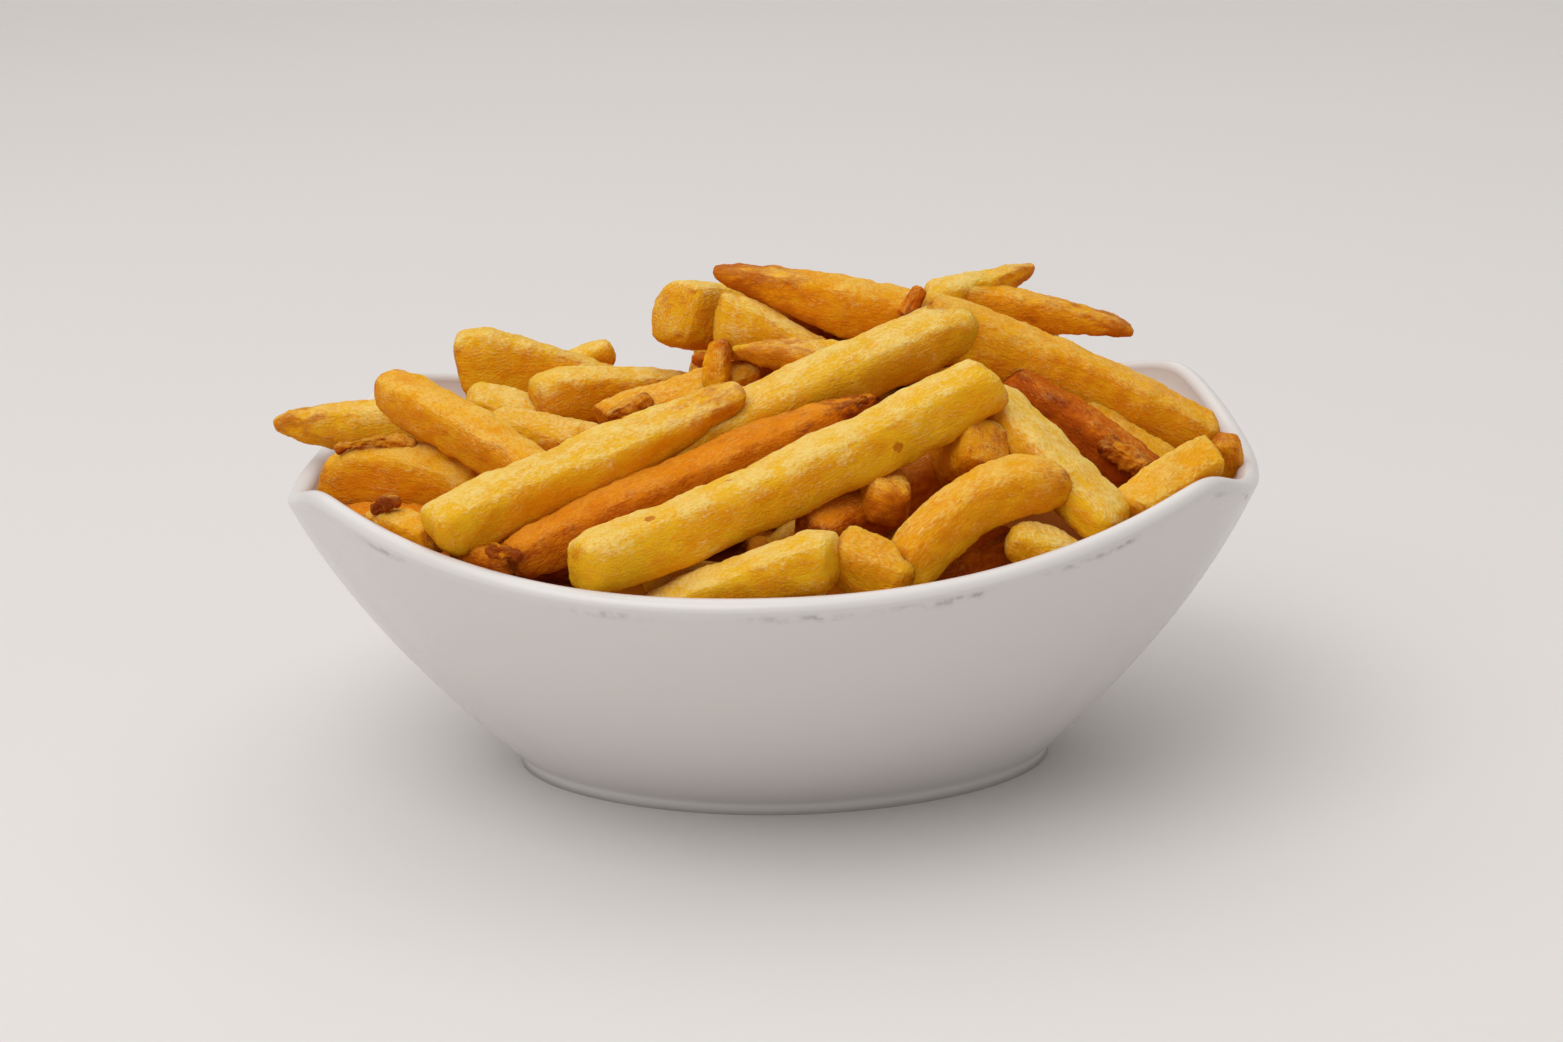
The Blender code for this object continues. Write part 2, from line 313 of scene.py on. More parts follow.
def skin_mesh(title, stations, turns):
    """Rings of points, one ring for each station, closed by a middle point at both ends."""
    around = len(turns)
    faces = []
    for ring in range(len(stations) - 1):
        for i in range(around):
            j = (i + 1) % around
            low, high = ring * around, (ring + 1) * around
            faces.append((low + i, low + j, high + j, high + i))
    first, last = len(stations) * around, len(stations) * around + 1
    top = (len(stations) - 1) * around
    for i in range(around):
        j = (i + 1) % around
        faces.append((j, i, first))
        faces.append((top + i, top + j, last))
    rows = [station for station in stations for _ in turns]
    middles = [dict(station, share=0.0) for station in (stations[0], stations[-1])]
    mesh = bpy.data.meshes.new(title)
    mesh.from_pydata([(0, 0, 0)] * (last + 1), [], faces)
    for key in ("climb", "inset", "base", "share", "lift"):
        values = [row[key] for row in rows + middles]
        mesh.attributes.new(key, "FLOAT", "POINT").data.foreach_set("value", values)
    angles = list(turns) * len(stations) + [0.0, 0.0]
    mesh.attributes.new("turn", "FLOAT", "POINT").data.foreach_set("value", angles)
    return mesh


def station(climb, inset=0.0, base=FOOT_TOP, share=1.0, lift=0.0):
    return {"climb": climb, "inset": inset, "base": base, "share": share, "lift": lift}


def bowl_stations():
    """The bowl's section, from the middle of its underside round to the middle of its floor."""
    ring_in, ring_out, recess = FOOT_RING, FOOT_ROUNDING, FOOT_RECESS
    under = [station(0.0, ring_in + 2 * MM, recess, share) for share in (0.3, 0.6, 0.85, 0.97)]
    under.append(station(0.0, ring_in + 2 * MM, recess))
    under.append(station(0.0, ring_in + 0.3 * MM, 0.3 * MM))
    under.append(station(0.0, ring_in, 0.0))
    foot = [station(0.0, ring_out, 0.0)]
    for i in range(1, 5):
        turn = math.pi / 2 * i / 4
        drop, reach = ring_out * (1 - math.sin(turn)), ring_out * math.cos(turn)
        foot.append(station(0.0, reach * 0.9 + 0.1 * MM, drop))
    foot.append(station(0.0, 0.05 * MM, 2.1 * MM))
    outer = [station(t ** 1.15) for t in np.linspace(0.0, 1.0, 34)]
    lip = []
    for i in range(1, 16):
        turn = math.pi * i / 16
        inset = WALL / 2 * (1 - math.cos(turn))
        lip.append(station(1.0, inset, lift=LIP * math.sin(turn)))
    inner = [station(t, WALL, FLOOR) for t in np.linspace(1.0, 0.06, 26)]
    floor = [station(0.0, WALL, FLOOR, share, 0.2 * MM) for share in (0.96, 0.8, 0.5, 0.2)]
    return under + foot + outer + lip + inner + floor


white_glaze = glaze_finish()
bowl_rule = bowl_tree(white_glaze)
bowl = grow(
    "porcelain_bowl",
    skin_mesh("porcelain_bowl", bowl_stations(), directions(22, 40)),
    bowl_rule,
    {**BOWL_SIZES, "Material": white_glaze},
)
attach(bowl, "root")
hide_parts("bowl")

# ---------------------------------------------------------------------------------------------
# The fries on top: thick-cut potato sticks, fried until their thin ends and edges are browned.
# Each is laid one by one, from its left end to its right end, in millimetres from the bowl's foot.
# One tree cuts, tapers, bends and blisters them all; each colour of fry is one piece, and so
# are the loose scraps of crisp skin, which are small ragged fries.
ENDS = {
    # reach of the taper, share of the width and of the depth left at the tip, lean of the tip
    "cut": (6.0, 0.90, 0.88, 0.0),
    "round": (9.0, 0.62, 0.62, 0.0),
    "blunt": (18.0, 0.78, 0.80, 0.1),
    "spear": (26.0, 0.26, 0.22, 0.1),
    "wedge": (36.0, 0.70, 0.14, -0.8),
    "keel": (28.0, 0.60, 0.30, 0.8),
    "beak": (30.0, 0.40, 0.16, 0.9),
}
PALE, GOLDEN, DARK, CRISP = "pale", "golden", "dark", "crisp"


def fry(left, right, wide, deep, roll, ends, arch=0.0, sway=0.0, tone=0.5, spots=0.0):
    """One fry as laid: its ends, its cut section, how it lies rolled, bends and is coloured."""
    return {
        "left": left, "right": right, "wide": wide, "deep": deep, "roll": roll,
        "ends": ends, "arch": arch, "sway": sway, "tone": tone, "spots": spots,
    }


LAID = {
    PALE: [
        fry((-34.5, -78, 68.5), (48, -40, 95.8), 12.4, 12.4, -6, ("cut", "blunt"), -2.5, 1, 0.1, 1),
        fry((-64, -66, 72.5), (-4, -32, 89), 12.8, 12.3, -10, ("cut", "keel"), 0.3, 0, 0.4),
        fry((-31, -44, 75.5), (43, -6, 99.5), 13.0, 12.5, -10, ("cut", "blunt"), 0.5, 0, 0.2),
        fry((-72, 24, 84.5), (-30, 35, 81), 12.0, 16.5, 3, ("cut", "wedge"), 0, 0, 0.4),
        fry((-52, 2, 80.5), (-12, 14, 86), 11.0, 13.5, -3, ("cut", "wedge"), 0.5, 0, 0.3),
        fry((-110, 5, 76.5), (-64, 0, 74), 11.0, 14.0, -8, ("spear", "cut"), 0.5, 0, 0.1),
        fry((-22, 5, 100), (0, 28, 92), 13.0, 15.0, 10, ("cut", "blunt"), 0, 0, 0.4),
        fry((-11, -4, 101), (22, -8, 93), 11.0, 16.0, 0, ("cut", "wedge"), 0, 0, 0.3),
        fry((34, 5, 100), (57, 22, 104), 9.0, 11.0, -10, ("cut", "spear"), 0, 0, 0.2),
        fry((-7, -14, 96), (24, -14, 91), 11.0, 9.0, -15, ("spear", "cut"), 0.5, 0, 0.6),
        fry((46.5, -30, 90), (72, -57, 68), 14.5, 9.5, 14, ("blunt", "cut"), 0, 0, 0.3),
        fry((-24, -76, 63), (17, -76, 70), 12.0, 12.0, -8, ("wedge", "cut"), 0, 0, 0.2),
        fry((50, -65, 70), (64, -60, 62), 11.0, 10.0, -10, ("round", "cut"), 0, 0, 0.3),
        fry((-68, 5, 80), (-44, 5, 73), 12.0, 11.0, -15, ("cut", "cut"), 0, 0, 0.3),
        fry((-61, -5, 78), (-36, -9, 73), 11.0, 10.0, -20, ("cut", "cut"), 0, 0, 0.7),
        fry((-50, 40, 78), (-39, 42, 83), 8.0, 8.0, -10, ("cut", "round"), 0, 0, 0.1),
    ],
    GOLDEN: [
        fry((-82, -12, 89.5), (-38, -52, 75.5), 10.5, 11.0, -5, ("round", "cut"), 0.5, 0, 0.4),
        fry((-96, -16, 69.5), (-57, -30, 69), 12.5, 15.0, -10, ("round", "cut"), 3, 0, 0.4),
        fry((-13, 2, 106), (42, -1, 95), 12.0, 12.5, -10, ("beak", "cut"), 2.0, 0, 0.5),
        fry((33, 10, 99.5), (79, 15, 95.5), 10.0, 11.0, -6, ("cut", "wedge"), 0.5, 0, 0.4),
        fry((33, -5, 100.5), (95, -2, 71), 13.5, 13.5, -8, ("cut", "blunt"), 0.5, 0, 0.4),
        fry((28, -71, 65), (62.5, -52, 77.5), 11.5, 11.5, -10, ("cut", "round"), 6, 0, 0.2),
        fry((31, -20, 68), (47, -48, 85), 12.0, 12.0, 10, ("cut", "cut"), 0, 0, 0.5),
        fry((20, -32, 75), (28, -60, 75), 10.5, 11.0, 10, ("cut", "round"), 0, 0, 0.7),
        fry((16, -70, 70), (31, -73, 62), 12.0, 12.0, -10, ("cut", "cut"), 0, 0, 0.4),
        fry((74, -50, 70), (93, -33, 78), 10.0, 7.5, -20, ("cut", "cut"), 0, 0, 0.3),
        fry((97, -2, 62), (97, -10, 74), 8.5, 8.0, 0, ("cut", "round"), 0, 0, 0.5),
        fry((-79, -50, 71), (-64, -61, 70), 8.0, 8.0, -10, ("round", "cut"), 0, 0, 0.5),
        fry((-34, -22, 83), (-2, -6, 89), 9.0, 8.0, -20, ("cut", "blunt"), 0, 0, 0.6),
        fry((66, -10, 80), (86, -14, 68), 8.0, 7.0, -20, ("cut", "cut"), 0, 0, 0.5),
        fry((42, 6, 87), (72, 2, 74), 12.0, 12.0, -5, ("cut", "cut"), 0, 0, 0.8),
        fry((-11, -15, 87), (-10, -11, 98), 6.0, 5.0, 0, ("cut", "round"), 0, 0, 0.7),
            ],
    DARK: [
        fry((-49, -68, 67.5), (23, -28, 89), 11.0, 10.5, -10, ("blunt", "spear"), 0, 0, 0.2),
        fry((50, -12, 88), (80, -24, 69), 11.0, 11.0, 6, ("cut", "cut"), 0, 0, 1.5),
        fry((10, -60, 68), (39, -30, 76), 11.0, 11.0, -15, ("cut", "cut"), 0, 0, 0.5),
        fry((-92, -28, 62), (-58, -42, 65), 11.0, 11.0, -15, ("cut", "cut"), 0, 0, 0.6),
        fry((29, -8, 101), (33, -4, 107), 5.0, 5.0, 0, ("cut", "round"), 0, 0, 0.4),
        fry((35, -60, 58), (52, -52, 66), 11.0, 11.0, 0, ("cut", "cut"), 0, 0, 0.8),
        fry((-60, -62, 68), (-46, -68, 66), 8.0, 7.0, 0, ("round", "round"), 0, 0, 0.9),
    ],
    CRISP: [
        fry((-52, -73, 72), (-45.5, -73, 70.5), 5.0, 4.0, 0, ("round", "round"), 0, 0, 0.9),
        fry((-91, -22, 78), (-74, -25, 80), 3.5, 3.0, 0, ("round", "round"), 1.5, 0, 0.3),
        fry((-78, -53.5, 74.2), (-72, -54.5, 75.8), 4.5, 4.0, 0, ("round", "round"), 1.0, 0, 0.1),
        fry((16, -33, 87.5), (22.5, -31, 90), 5.0, 4.0, 0, ("round", "round"), 0, 0, 0.8),
        fry((-33, -25, 85), (-24, -22, 88), 4.0, 4.0, 0, ("round", "round"), 0, 0, 0.0),
        fry((70, -27, 79), (80, -31, 72), 9.0, 7.0, 0, ("round", "round"), 0, 0, 0.8),
    ],
}


def strewn_points(title, fries):
    """One point for each fry, which carries what the tree needs to know about it."""
    mesh = bpy.data.meshes.new(title)
    mesh.from_pydata([(0, 0, 0)] * len(fries), [], [])

    def note(key, rows, kind="FLOAT", field="value"):
        flat = np.array(rows, np.float32).ravel()
        mesh.attributes.new(key, kind, "POINT").data.foreach_set(field, flat)

    for key in ("left", "right"):
        note(key, [[v * MM for v in f[key]] for f in fries], "FLOAT_VECTOR", "vector")
    for key in ("wide", "deep", "arch", "sway"):
        note(key, [f[key] * MM for f in fries])
    note("roll", [math.radians(f["roll"]) for f in fries])
    for key in ("tone", "spots"):
        note(key, [f[key] for f in fries])
    note("seed", [7.3 * n + sum(f["left"]) for n, f in enumerate(fries)])
    chance = random.Random(title)
    note("keystone", [chance.uniform(-0.10, 0.10) for _ in fries])
    note("twist", [chance.uniform(-0.16, 0.16) for _ in fries])
    for number, end in enumerate(("left", "right")):
        kinds = [ENDS[f["ends"][number]] for f in fries]
        note(end + "_taper", [k[0] * MM for k in kinds])
        note(end + "_width", [k[1] for k in kinds])
        note(end + "_depth", [k[2] for k in kinds])
        note(end + "_lean", [k[3] for k in kinds])
        skew = [(chance.uniform(-0.3, 0.3), chance.uniform(-0.25, 0.25), 0) for _ in fries]
        note(end + "_skew", skew, "FLOAT_VECTOR", "vector")
    return mesh


FRY_SIZES = {
    "Steps across": 15,
    "Steps along": 88,
    "Crispness": 3.1,
    "End rounding": 0.7,
    "Sunken faces": 0.15 * MM,
    "Lump depth": 2.6 * MM,
    "Blister depth": 1.2 * MM,
    "Crumb depth": 0.35 * MM,
}
RAGGED = {"Crispness": 2.6, "Lump depth": 4.0 * MM, "Blister depth": 3.4 * MM}


def fry_tree(material_slot):
    """Cuts a stick for each point, rounds and tapers it, bends it and lays it between its ends."""
    tree, bench, given = new_tree("cut_fries", {**FRY_SIZES, "Material": material_slot})
    across, steps = given["Steps across"], given["Steps along"]
    cube = {"Size": (2, 2, 2), "Vertices X": across, "Vertices Y": across, "Vertices Z": steps}
    stick = bench.node("GeometryNodeMeshCube", None, cube)
    inputs = {"Points": given["Geometry"], "Instance": stick}
    sticks = bench.node("GeometryNodeInstanceOnPoints", None, inputs)
    body = bench.node("GeometryNodeRealizeInstances", None, {"Geometry": sticks})

    place = bench.node("GeometryNodeInputPosition")
    a, b, c = [bench.node("ShaderNodeSeparateXYZ", None, {0: place}, axis) for axis in range(3)]
    a = bench.math("SINE", a * (math.pi / 2))
    b = bench.math("SINE", b * (math.pi / 2))
    left, right = bench.named("left", "FLOAT_VECTOR"), bench.named("right", "FLOAT_VECTOR")
    wide, deep = bench.named("wide"), bench.named("deep")
    run = right - left
    half = bench.math("LENGTH", run) * 0.5
    along = bench.math("NORMALIZE", run)
    level = bench.math("NORMALIZE", bench.math("CROSS_PRODUCT", (0.0, 0.0, 1.0), along))
    plumb = bench.math("CROSS_PRODUCT", along, level)
    roll = bench.named("roll") + bench.named("twist") * c
    cosine, sine = bench.math("COSINE", roll), bench.math("SINE", roll)
    side = level * cosine - plumb * sine
    up = plumb * cosine + level * sine

    # The stick's edges and ends are rounded alike, as a cube is turned into a soft block.
    radius = wide * 0.5
    rounding = radius * given["End rounding"]
    reach = bench.math("ABSOLUTE", c) * half
    end = bench.math("MAXIMUM", 1 - (half - reach) / rounding, 0.0)
    power = given["Crispness"]
    size_a, size_b = bench.math("ABSOLUTE", a) ** power, bench.math("ABSOLUTE", b) ** power
    swell = (size_a + size_b + end ** power) ** (-1 / power)
    flat = bench.math("MINIMUM", reach, half - rounding)
    way = bench.math("SIGN", c)
    reach = way * (flat + end * swell * rounding)

    width, depth, lean = 1.0, 1.0, 0.0
    for name, distance in (("left", half + reach), ("right", half - reach)):
        share = bench.math("MINIMUM", distance / bench.named(name + "_taper"), 1.0)
        share = bench.math("MAXIMUM", share, 0.0) ** 0.75
        tip_width, tip_depth = bench.named(name + "_width"), bench.named(name + "_depth")
        width = width * (tip_width + (1 - tip_width) * share)
        thin = tip_depth + (1 - tip_depth) * share
        depth = depth * thin
        lean = lean + bench.named(name + "_lean") * (1 - thin)
    x = a * swell * radius * width * (1 + bench.named("keystone") * b)
    y = (b * swell * depth + lean) * deep * 0.5
    across_cut = bench.node("ShaderNodeCombineXYZ", None, {"X": x, "Y": y})
    at_right = bench.math("GREATER_THAN", c, 0.0)
    skews = [bench.named(name, "FLOAT_VECTOR") for name in ("left_skew", "right_skew")]
    slants = [bench.math("DOT_PRODUCT", across_cut, skew) for skew in skews]
    reach = reach + end * (slants[0] * (1 - at_right) + slants[1] * at_right)

    grain = bench.node("ShaderNodeCombineXYZ", None, {"X": x, "Y": y, "Z": reach})
    seed = bench.named("seed")
    apart = {"X": seed * 0.31, "Y": seed * 0.17, "Z": seed * 0.07}
    grain = grain + bench.node("ShaderNodeCombineXYZ", None, apart)

    # What browns most: cut edges, both ends and wherever the fry is thin.
    edge = bench.math("MINIMUM", (a * b) ** 2, 1.0)
    body = bench.keep(body, "grain", grain, "FLOAT_VECTOR")
    body = bench.keep(body, "edge", edge)
    body = bench.keep(body, "tip", bench.math("MAXIMUM", 1 - width * depth, end * end * 0.5))
    body = bench.keep(body, "sunken", (1 - edge) * (1 - end))

    middle = (left + right) * 0.5
    bow = 1 - (reach / half) * (reach / half)
    spot = middle + along * reach + side * (x + bench.named("sway") * bow) + up * y
    lifted = bench.node("ShaderNodeCombineXYZ", None, {"Z": bench.named("arch") * bow})
    inputs = {"Geometry": body, "Position": spot + lifted}
    body = bench.node("GeometryNodeSetPosition", None, inputs)

    # Frying leaves the faces a little sunken and lumpy, with fine blisters all over.
    grain = bench.named("grain", "FLOAT_VECTOR")
    lumps = bench.node("ShaderNodeTexNoise", None, {"Vector": grain, "Scale": 70.0, "Detail": 2.0})
    grainy = {"Vector": grain, "Scale": 300.0, "Detail": 2.0, "Roughness": 0.6}
    blisters = bench.node("ShaderNodeTexNoise", None, grainy)
    crumbs = bench.node("ShaderNodeTexNoise", None, {"Vector": grain, "Scale": 900.0, "Detail": 1.0})
    raised = (lumps - 0.5) * given["Lump depth"] + (blisters - 0.5) * given["Blister depth"]
    raised = raised + (crumbs - 0.5) * given["Crumb depth"]
    raised = raised - bench.named("sunken") * given["Sunken faces"] * (0.5 + lumps)
    normal = bench.node("GeometryNodeInputNormal")
    inputs = {"Geometry": body, "Offset": normal * raised}
    body = bench.node("GeometryNodeSetPosition", None, inputs)
    # How far each point faces up, kept for the finish, which paints the upward faces lighter and the
    # sides deeper: painted light and shade.
    upward = bench.node("ShaderNodeSeparateXYZ", None, {0: bench.node("GeometryNodeInputNormal")}, 2)
    body = bench.keep(body, "painted_light_facing_up", upward)
    close_tree(bench, body, given["Material"])
    return tree


def fried_finish(title, main, deep, brown, frost_and_highlight, flour_and_highlight, browning):
    """Fried potato: golden, darker in patches and, as painted shade, on its sides; browned at thin
    ends; a dry, whitish bloom on its high grain, with a painted highlight on its upward faces.
    """
    material, bench = new_finish(title)
    grain = bench.node("ShaderNodeAttribute", {"attribute_name": "grain"}, None, "Vector")
    edge = bench.node("ShaderNodeAttribute", {"attribute_name": "edge"}, None, "Fac")
    tip = bench.node("ShaderNodeAttribute", {"attribute_name": "tip"}, None, "Fac")
    tone = bench.node("ShaderNodeAttribute", {"attribute_name": "tone"}, None, "Fac")
    painted_light_facing_up = bench.node("ShaderNodeAttribute", {"attribute_name": "painted_light_facing_up"}, None, "Fac")
    spots = bench.node("ShaderNodeAttribute", {"attribute_name": "spots"}, None, "Fac")
    drawn = bench.math("MULTIPLY", grain, (1.0, 1.0, 0.5))
    patch = bench.node("ShaderNodeTexNoise", None, {"Vector": drawn, "Scale": 95.0, "Detail": 3.0})
    patch = (patch - 0.5) * 6.0
    mottle = {"Vector": drawn, "Scale": 420.0, "Detail": 4.0, "Roughness": 0.65}
    mottle = (bench.node("ShaderNodeTexNoise", None, mottle) - 0.5) * 7.0
    fine = {"Vector": drawn, "Scale": 2100.0, "Detail": 3.0, "Roughness": 0.65}
    fine = (bench.node("ShaderNodeTexNoise", None, fine) - 0.5) * 7.0
    dry = bench.node("ShaderNodeTexNoise", None, {"Vector": grain, "Scale": 140.0, "Detail": 2.0})
    dry = (dry - 0.5) * 5.0

    # The deep colour in patches, by tone and at the tips, and on faces turned away from the top,
    # which is painted shade.
    deeper_and_side_shade = patch * 0.42 + mottle * 0.55 + tone * 0.8 + tip * 0.5 - painted_light_facing_up * 0.40
    deeper_and_side_shade = bench.ease(deeper_and_side_shade, -0.6, 1.0)
    mix = {"Factor": deeper_and_side_shade, "A": main, "B": deep}
    colour = bench.node("ShaderNodeMix", {"data_type": "RGBA"}, named_mix(mix), 2)
    # The whitish mix: dry grain and cut edges, and the upward faces made whiter, which is a painted
    # highlight.
    floury_and_highlight = fine * 0.60 + mottle * 0.34 + dry * 0.48 + painted_light_facing_up * 0.95 + edge * 0.26 - tone * 0.3
    floury_and_highlight = bench.ease(floury_and_highlight, 0.0, 1.6) * flour_and_highlight
    mix = {"Factor": floury_and_highlight, "A": colour, "B": frost_and_highlight}
    colour = bench.node("ShaderNodeMix", {"data_type": "RGBA"}, named_mix(mix), 2)
    # Browning at edges, tips and in patches, held back a little on upward faces, which is painted
    # light.
    browned = edge * 0.3 + tip * 1.4 + patch * 0.35 + mottle * 0.35 + tone * 0.35 - painted_light_facing_up * 0.15
    browned = bench.ease(browned, 0.75 - browning, 1.7 - browning) * 0.85
    cells = {"Vector": grain, "Scale": 130.0}
    near = bench.node("ShaderNodeTexVoronoi", None, cells, "Distance")
    chosen = bench.node("ShaderNodeTexVoronoi", None, cells, "Color")
    pick = bench.node("ShaderNodeSeparateColor", None, {"Color": chosen}, "Red")
    specks = (1 - bench.ease(near + fine * 0.02, 0.15, 0.18)) * bench.ease(pick, 0.50, 0.51)
    browned = bench.math("MAXIMUM", browned, specks * spots * 0.8)
    mix = {"Factor": browned, "A": colour, "B": brown}
    colour = bench.node("ShaderNodeMix", {"data_type": "RGBA"}, named_mix(mix), 2)
    height = mottle * 0.55 + fine * 0.45
    inputs = {"Strength": 0.9, "Distance": 0.24 * MM, "Height": height}
    normal = bench.node("ShaderNodeBump", None, inputs)
    coat(bench, {
        "Base Color": colour,
        "Roughness": 0.50 + floury_and_highlight * 0.2 - browned * 0.12,
        "Specular IOR Level": 0.06,
        "Coat Weight": bench.ease(fine + mottle * 0.5, 0.4, 1.5) * 0.5,
        "Coat Roughness": 0.28,
        "Subsurface Weight": 0.30,
        "Subsurface Radius": (0.0060, 0.0030, 0.0006),
        "Subsurface Scale": 1.0,
        "Normal": normal,
    })
    return material


FINISHES = {
    PALE: fried_finish(
        "pale_fries", (0.94, 0.50, 0.012, 1), (0.90, 0.36, 0.004, 1),
        (0.56, 0.15, 0.002, 1), (0.99, 0.68, 0.20, 1), 0.95, 0.0,
    ),
    GOLDEN: fried_finish(
        "golden_fries", (0.92, 0.41, 0.007, 1), (0.84, 0.27, 0.002, 1),
        (0.48, 0.10, 0.002, 1), (0.98, 0.60, 0.12, 1), 0.80, 0.17,
    ),
    DARK: fried_finish(
        "dark_fries", (0.82, 0.25, 0.003, 1), (0.54, 0.10, 0.002, 1),
        (0.22, 0.022, 0.002, 1), (0.93, 0.40, 0.04, 1), 0.55, 0.28,
    ),
    CRISP: fried_finish(
        "crisp_bits", (0.74, 0.27, 0.006, 1), (0.52, 0.12, 0.002, 1),
        (0.20, 0.026, 0.001, 1), (0.92, 0.50, 0.10, 1), 0.5, 0.35,
    ),
}
cut_fries = fry_tree(FINISHES[PALE])


def fried_piece(name, kind, fries, **other_sizes):
    """Cuts one piece of fries of one colour and lays it in the bowl."""
    sizes = {**FRY_SIZES, **other_sizes, "Material": FINISHES[kind]}
    piece = grow(name, strewn_points(name, fries), cut_fries, sizes)
    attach(piece, "root")
    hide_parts("fries_heap")
    return piece


laid_pieces = [
    fried_piece(f"fries_{kind}", kind, fries, **(RAGGED if kind == CRISP else {}))
    for kind, fries in LAID.items()
]

# ---------------------------------------------------------------------------------------------
# The heart of the heap: what can't be told apart below the fries, down to the bowl's floor.
# It follows the bowl's own rule just inside the wall and is domed and lumpy on top.
HEART_TOP = 70.0 * MM
HEART_EDGE, HEART_EDGE_HEIGHT = 0.80, 55.0 * MM
HEART_LUMPS, HEART_LUMP_SIZE, HEART_SMOOTH_BELOW = 2.0 * MM, 7.0 * MM, 40 * MM
# The heart's colours are far darker than any fry's: painted shade of the heap's depths.
HEART_SHADE_FINISH = fried_finish(
    "fries_heart", (0.52, 0.15, 0.003, 1), (0.30, 0.06, 0.002, 1),
    (0.18, 0.03, 0.001, 1), (0.72, 0.32, 0.05, 1), 0.25, 0.3,
)


def heart_stations():
    """The heart's section, from the bowl's floor up beside the wall and over the dome."""
    inset, base = WALL + 0.5 * MM, FLOOR + 0.6 * MM
    rows = [station(0.0, inset, base, share) for share in (0.3, 0.6, 0.9)]
    rows += [station(t, inset, base) for t in np.linspace(0.05, HEART_EDGE, 14)]
    for share in np.linspace(0.96, 0.06, 22):
        lift = (HEART_TOP - HEART_EDGE_HEIGHT) * (1 - share ** 2)
        rows.append(station(HEART_EDGE, inset, base, share, lift))
    return rows


def roughen(piece, depth, size):
    """Pushes the upper surface of a piece in and out by smooth noise."""
    for vertex in piece.data.vertices:
        if vertex.co.z > HEART_SMOOTH_BELOW:
            vertex.co.z += depth * noise.noise(vertex.co / size)


heart = grow(
    "fries_heart",
    skin_mesh("fries_heart", heart_stations(), directions(14, 24)),
    bowl_rule,
    {**BOWL_SIZES, "Material": HEART_SHADE_FINISH},
)
roughen(heart, HEART_LUMPS, HEART_LUMP_SIZE)
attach(heart, "root")
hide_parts("fries_heap")

# ---------------------------------------------------------------------------------------------
# The fries below and behind: tipped in at random, so each comes to rest on what lies under it.
# A height map of the heap is searched for two points that hold each fry up, one on either side
# of its middle; the map is then raised by that fry. Fries below the top ones stay under them.
CELL = 2.0 * MM
GRID_X = np.arange(-112, 113, 2) * MM
GRID_Y = np.arange(-92, 93, 2) * MM
STEEPEST = 0.7
COARSE = {"Steps across": 9, "Steps along": 48}
DOME_TOP, DOME_MIDDLE, DOME_FALL = 88, 25, 0.0022
BELOW_COUNT = 64
BELOW_AREA = ((-88, 88), (-70, 70))


def surface_of(pieces):
    """A search tree of the faces of some pieces."""
    points, faces = [], []
    for piece in pieces:
        start = len(points)
        points += [v.co.copy() for v in piece.data.vertices]
        faces += [[start + i for i in p.vertices] for p in piece.data.polygons]
    return BVHTree.FromPolygons(points, faces)


def height_map(pieces, from_above, missing):
    """How high the pieces reach over each cell or, from below, how low they hang."""
    tree = surface_of(pieces)
    start, way = (0.2, -1) if from_above else (0.045, 1)
    heights = np.full((len(GRID_X), len(GRID_Y)), missing)
    for i, x in enumerate(GRID_X):
        for j, y in enumerate(GRID_Y):
            hit = tree.ray_cast(Vector((x, y, start)), Vector((0, 0, way)))
            if hit[0] is not None:
                heights[i, j] = hit[0].z
    return heights


